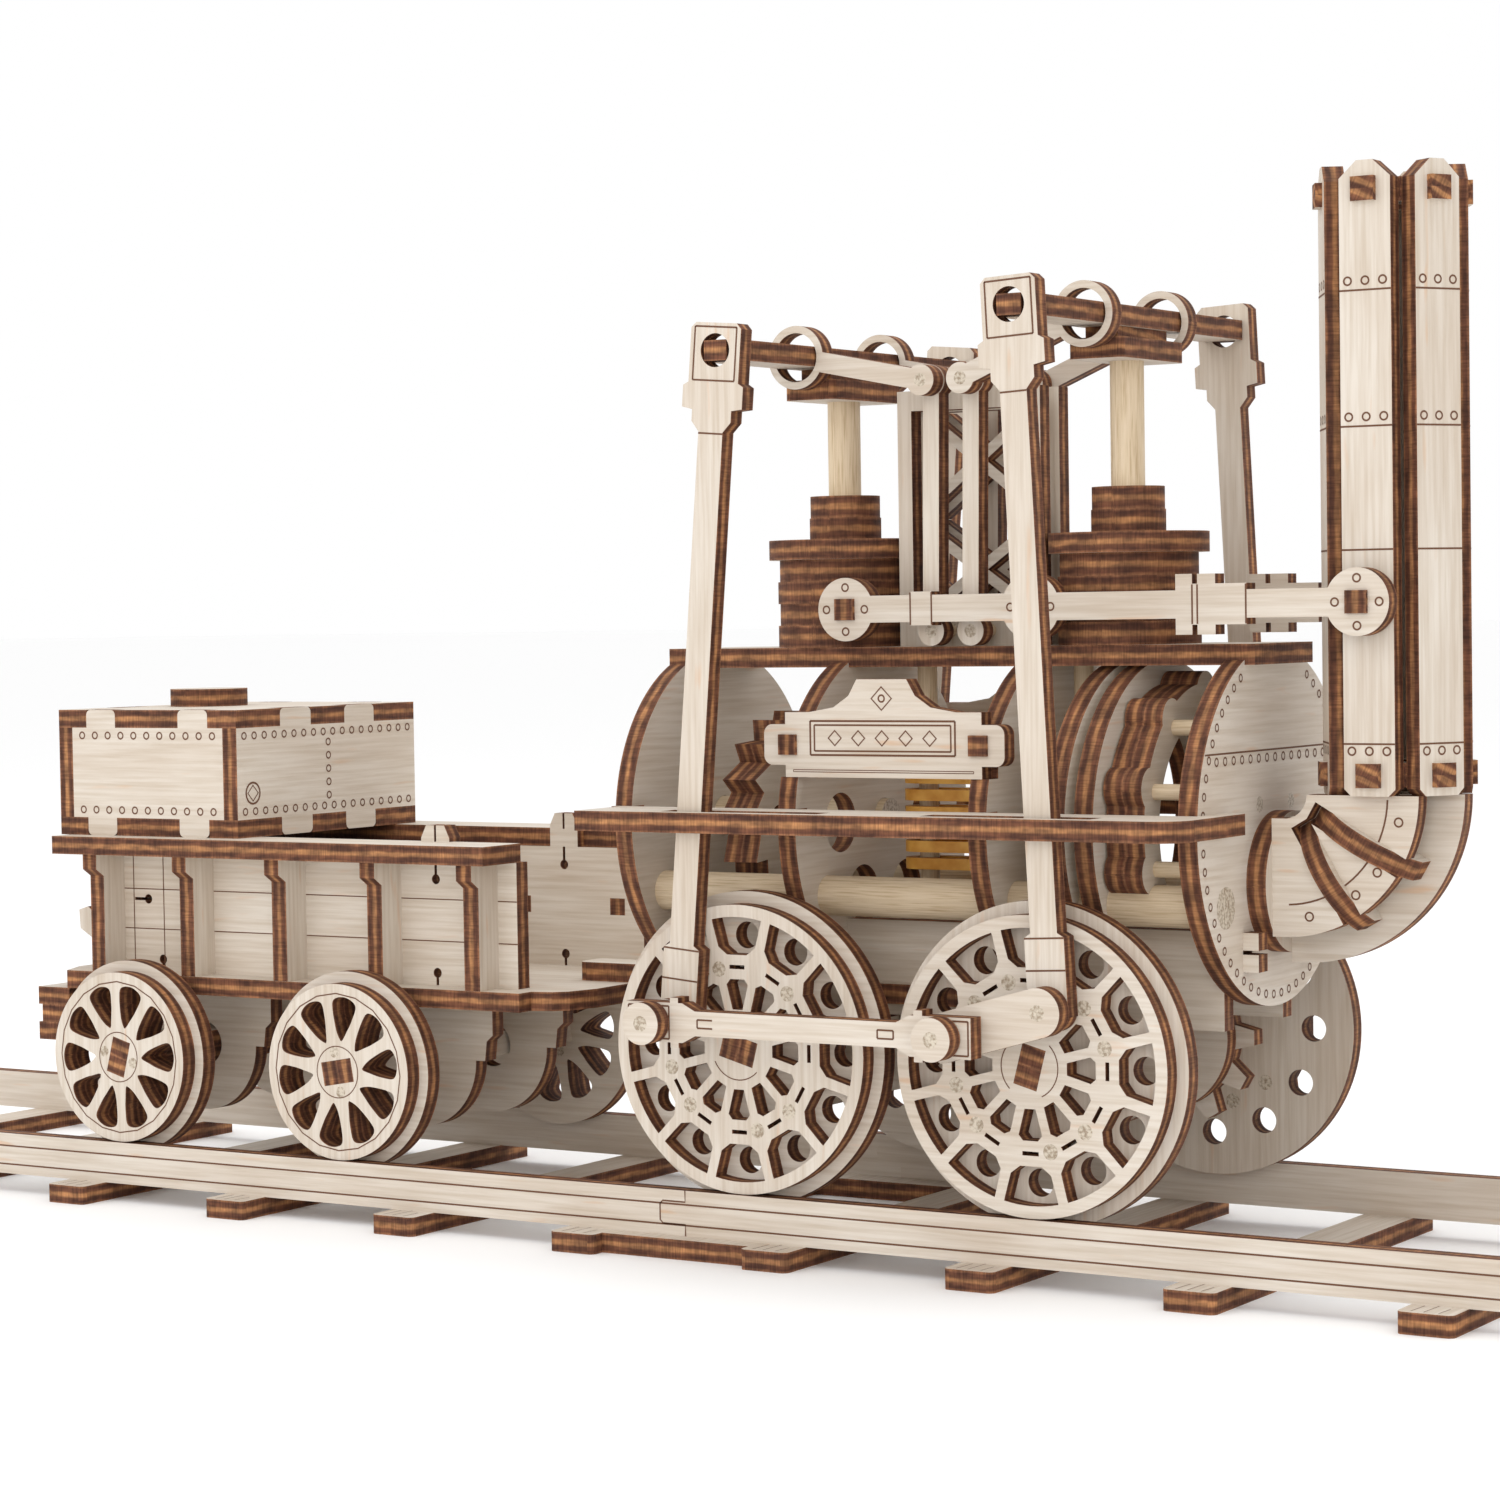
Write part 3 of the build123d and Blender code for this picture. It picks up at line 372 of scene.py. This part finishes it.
# ---- engraving ----------------------------------------------------------------------
ribbons = {}


class Sheet:
    """A flat face to engrave: the body it rides on, a point on it and its two directions."""

    def __init__(self, body, origin, right, up, turn=0.0):
        spin = Matrix.Rotation(math.radians(turn), 3, Vector(right).cross(Vector(up)))
        self.body, self.origin = body, Vector(origin)
        self.right, self.up = spin @ Vector(right), spin @ Vector(up)
        self.out = self.right.cross(self.up)

    def place(self, u, v):
        return (self.origin + self.right * u + self.up * v + self.out * ENGRAVING_LIFT) * MM


def add_ribbon(sheet, path, width, closed=False):
    """A flat ribbon of burnt wood along a path drawn on the sheet."""
    vertices, faces = ribbons.setdefault(sheet.body, ([], []))
    count, start = len(path), len(vertices)
    for index, (u, v) in enumerate(path):
        before = path[index - 1] if closed or index else path[index]
        after = path[(index + 1) % count] if closed or index < count - 1 else path[index]
        along = Vector((after[0] - before[0], after[1] - before[1])).normalized()
        for side in (-0.5, 0.5):
            vertices.append(sheet.place(u - along.y * width * side, v + along.x * width * side))
    steps = count if closed else count - 1
    for index in range(steps):
        a, b = start + 2 * index, start + 2 * ((index + 1) % count)
        faces.append((a, b, b + 1, a + 1))


def line(sheet, u0, v0, u1, v1, width=LINE_WIDTH):
    add_ribbon(sheet, [(u0, v0), (u1, v1)], width)


def arc(sheet, u, v, radius, start, end, width=LINE_WIDTH):
    steps = max(6, int(abs(end - start) / 7))
    angles = [math.radians(start + (end - start) * k / steps) for k in range(steps + 1)]
    add_ribbon(sheet, [(u + radius * math.cos(a), v + radius * math.sin(a)) for a in angles], width)


def ring(sheet, u, v, radius=RIVET_R, width=RING_WIDTH):
    angles = [math.tau * k / 20 for k in range(20)]
    path = [(u + radius * math.cos(a), v + radius * math.sin(a)) for a in angles]
    add_ribbon(sheet, path, width, closed=True)


def frame_line(sheet, u0, u1, v0, v1, width=LINE_WIDTH):
    line(sheet, u0, v0, u1, v0, width)
    line(sheet, u1, v0, u1, v1, width)
    line(sheet, u1, v1, u0, v1, width)
    line(sheet, u0, v1, u0, v0, width)


def diamond(sheet, u, v, size):
    add_ribbon(sheet, [(u + size, v), (u, v + size), (u - size, v), (u, v - size)], LINE_WIDTH, closed=True)


def row_of_rings(sheet, u0, u1, v, pitch):
    count = max(1, round(abs(u1 - u0) / pitch))
    for k in range(count + 1):
        ring(sheet, u0 + (u1 - u0) * k / count, v)


def both_sides(body, y):
    """The near and the far face at the same distance from the middle, each drawn in X and Z."""
    return Sheet(body, (0, -y, 0), (1, 0, 0), (0, 0, 1)), Sheet(body, (0, y, 0), (-1, 0, 0), (0, 0, 1))


def corners(name):
    """A node's lowest and highest corners, in millimetres."""
    low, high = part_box(name)
    return low / MM, high / MM


def engrave_front_plate():
    _, high = corners("boiler_front_plate")
    centre_z = corners("boiler_rear_plate")[0].z + 26
    plate = Sheet("locomotive", (high.x, 0, centre_z), (0, 1, 0), (0, 0, 1))
    count, radius, gap = 58, 24.3, 26        # rivets all round, but for a gap under the deck
    for k in range(count):
        angle = 90 + 360 / count * (k + 0.5)
        turn = math.radians(angle)
        if abs(angle - 90) > gap and abs(angle - 450) > gap:
            ring(plate, radius * math.cos(turn), radius * math.sin(turn), 0.52)
    line(plate, -23.3, 11.0, 23.3, 11.0)
    row_of_rings(plate, -19.6, 19.6, 9.9, 2.8)


def engrave_chimney():
    low, high = corners("chimney_staves")
    middle = Vector(((low.x + high.x) / 2, 0, 0))
    for k in range(6):
        turn = math.radians(60 * k)
        out = Vector((math.sin(turn), -math.cos(turn), 0))
        right = Vector((math.cos(turn), math.sin(turn), 0))
        stave = Sheet("locomotive", middle + out * 10.0, right, (0, 0, 1))
        for z, rivets in ((138.9, 1.3), (120.1, 1.3), (103.0, 0), (76.0, -1.0)):
            line(stave, -3.8, z, 3.8, z)
            if rivets:
                row_of_rings(stave, -2.6, 2.6, z + rivets, 2.6)


def engrave_elbow():
    for sheet, sign in zip(both_sides("locomotive", CHEEK_FACE_Y), (1, -1)):
        for start, end in ((-27, -2), (-56, -34), (-88, -64)):
            angles = (start, end) if sign == 1 else (180 - start, 180 - end)
            arc(sheet, sign * BEND_X, BEND_Z, 15.6, *angles)
        for angle in (-12, -37.5, -52.5, -78):
            turn = math.radians(angle)
            u, v = BEND_X + 17.6 * math.cos(turn), BEND_Z + 17.6 * math.sin(turn)
            ring(sheet, sign * u, v, 0.6)


def engrave_pipes():
    for sheet, sign in zip(both_sides("locomotive", PIPE_FACE_Y), (1, -1)):
        for x in (17.6, 48.9, 99.8):
            for u, v in ((3.3, 0), (-3.3, 0), (0, 3.3), (0, -3.3)):
                ring(sheet, sign * x + u, PIPE_Z + v)
        for x, half in ((28.8, 2.4), (32.4, 2.4), (74.8, 2.8), (75.6, 2.8), (83.1, 2.8)):
            line(sheet, sign * x, PIPE_Z - half, sign * x, PIPE_Z + half)


def engrave_nameplates():
    """Borders, rivets and a small diamond in place of any name."""
    for sheet, sign in zip(both_sides("locomotive", PLATE_FACE_Y), (1, -1)):
        middle, low = sign * 30.25, 71.2
        frame_line(sheet, middle - 12.2, middle + 12.2, low + 3.3, low + 8.3, 0.3)
        frame_line(sheet, middle - 11.5, middle + 11.5, low + 3.9, low + 7.7)
        frame_line(sheet, middle - 15.2, middle + 15.2, low + 0.8, low + 1.1, 0.12)
        for u in (-8, -4, 0, 4, 8):
            diamond(sheet, middle + u, low + 5.8, 1.1)
        diamond(sheet, middle, low + 11.6, 1.7)
        ring(sheet, middle, low + 11.6, 0.5)


def engrave_rods():
    """Lines on the connecting rods' heads and feet and on the coupling rods' ends."""
    def pin(axle_x, angle):
        turn = math.radians(angle)
        return axle_x + CRANK_R * math.cos(turn), AXLE_Z + CRANK_R * math.sin(turn)

    for end, (axle_x, angle) in CRANKS.items():
        foot = pin(axle_x, angle)
        lean = math.degrees(math.asin((foot[0] - axle_x) / ROD_LENGTH))
        near = Sheet(f"{end}_near_rod", (foot[0], -ROD_FACE_Y, foot[1]), (1, 0, 0), (0, 0, 1), lean)
        far = Sheet(f"{end}_far_rod", (foot[0], ROD_FACE_Y, foot[1]), (-1, 0, 0), (0, 0, 1), -lean)
        for sheet in (near, far):
            frame_line(sheet, -3.6, 3.6, ROD_LENGTH - 4.4, ROD_LENGTH + 3.4)
            line(sheet, -2.1, ROD_LENGTH - 12.1, 2.1, ROD_LENGTH - 12.1)
            line(sheet, -3.1, 5.6, 3.1, 5.6)
            line(sheet, -3.1, 10.1, 3.1, 10.1)
    rear_pin = pin(*CRANKS["rear"])
    for side, right in (("near", 1), ("far", -1)):
        origin = (rear_pin[0], -right * COUPLING_FACE_Y, rear_pin[1])
        sheet = Sheet(f"{side}_coupling_rod", origin, (right, 0, 0), (0, 0, 1))
        for eye, inward in ((0, 1), (WHEELBASE, -1)):
            head = sorted((right * (eye + inward * 2.9), right * (eye - inward * 4.2)))
            frame_line(sheet, *head, -2.4, 2.4)
            start, end = right * (eye + inward * 7.8), right * (eye + inward * 10.4)
            line(sheet, start, 0.6, end, 0.6)
            line(sheet, start, -0.6, end, -0.6)
            line(sheet, start, -0.6, start, 0.6)
            if inward == -1:
                line(sheet, end, -0.6, end, 0.6)


def engrave_wheels():
    for end, axle_x, turn in (("front", 58.0, -90), ("rear", 9.5, 0)):
        for sheet, sign in zip(both_sides(f"{end}_wheelset", WHEEL_FACE_Y), (1, -1)):
            for start in (turn + 25, turn + 205):
                angles = (start, start + 110) if sign == 1 else (180 - start, 70 - start)
                arc(sheet, sign * axle_x, AXLE_Z, 4.5, *angles, 0.16)
    for end in ("front", "rear"):
        low, high = corners(f"tender_{end}_wheelset")
        centre = (low + high) / 2
        for sheet, sign in zip(both_sides(f"tender_{end}_wheelset", WHEEL_FACE_Y), (1, -1)):
            ring(sheet, sign * centre.x, centre.z, 12.5, 0.2)
            arc(sheet, sign * centre.x, centre.z, 4.1, 0, 360, 0.16)


def engrave_track():
    for sheet, sign in zip(both_sides("track", RAIL_FACE_Y), (1, -1)):
        for depth in (2.1, 5.2):
            line(sheet, -204, RAIL_TOP - depth, 204, RAIL_TOP - depth)
        tongue = [(0, RAIL_TOP), (0, 8.1), (-4.0, 8.1), (-4.5, 7.6),
                  (-4.5, 5.2), (-4.0, 4.7), (0, 4.7), (0, PLY)]
        add_ribbon(sheet, [(sign * u, v) for u, v in tongue], 0.24)
    top = Sheet("track", (0, 0, 3.0), (1, 0, 0), (0, 1, 0))
    for k in range(-6, 6):
        x = 34 * (k + 0.5)
        for side in (-1, 1):
            for offset, length in ((-2.2, 4.2), (-0.4, 5.6), (1.7, 3.4)):
                line(top, x + offset, side * 38.2, x + offset + 0.3, side * (38.2 - length), 0.13)


def engrave_tank():
    low, high = corners("tank_panels")
    z0, z1 = low.z + 3.0 + 1.3, high.z - 3.0 - 1.3
    for sheet, sign in zip(both_sides("tender", high.y), (1, -1)):
        for z in (z0, z1):
            row_of_rings(sheet, sign * (low.x + 5.2), sign * (high.x - 5.2), z, 3.0)
    for x, right in ((high.x, 1), (low.x, -1)):
        sheet = Sheet("tender", (x, 0, 0), (0, right, 0), (0, 0, 1))
        for z in (z0, z1):
            row_of_rings(sheet, -21.8, 21.8, z, 2.55)
        for share in (0.14, 0.32, 0.5, 0.68, 0.86):
            ring(sheet, 0, z0 + (z1 - z0) * share)
        ring(sheet, -19.8, z0 + 3.0, 1.75, 0.34)
        diamond(sheet, -19.8, z0 + 3.0, 1.3)


def engrave_tender_walls():
    low, high = corners("tender_walls")
    top = corners("tender_rims")[0].z
    for sheet, sign in zip(both_sides("tender", high.y), (1, -1)):
        for z in (low.z + 7.1, low.z + 13.8):
            line(sheet, sign * (low.x + 3), z, sign * high.x, z, 0.18)
        for u in (-120.2, -113.6):
            line(sheet, sign * u, low.z, sign * u, top, 0.2)


def build_ribbons(material):
    for body, (vertices, faces) in ribbons.items():
        mesh = bpy.data.meshes.new(f"engraving_{body}")
        mesh.from_pydata(vertices, [], faces)
        mesh.materials.append(material)
        piece = bpy.data.objects.new(f"engraving_{body}", mesh)
        bpy.context.scene.collection.objects.link(piece)
        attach(piece, body)


# ---- build --------------------------------------------------------------------------
place_camera()
build_studio()
wood_materials = [birch_face(), burnt_edge(), dowel_wood(), dowel_end()]
for index, (name, piece) in enumerate(sorted(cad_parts.items())):
    if name == "rubber_bands":
        piece.data.materials.clear()
        piece.data.materials.append(rubber())
    else:
        dress(piece, wood_materials, 1.7 * index)
engrave_front_plate()
engrave_chimney()
engrave_elbow()
engrave_pipes()
engrave_nameplates()
engrave_rods()
engrave_wheels()
engrave_track()
engrave_tank()
engrave_tender_walls()
build_ribbons(plain("engraving", (0.13, 0.055, 0.028), 0.8))
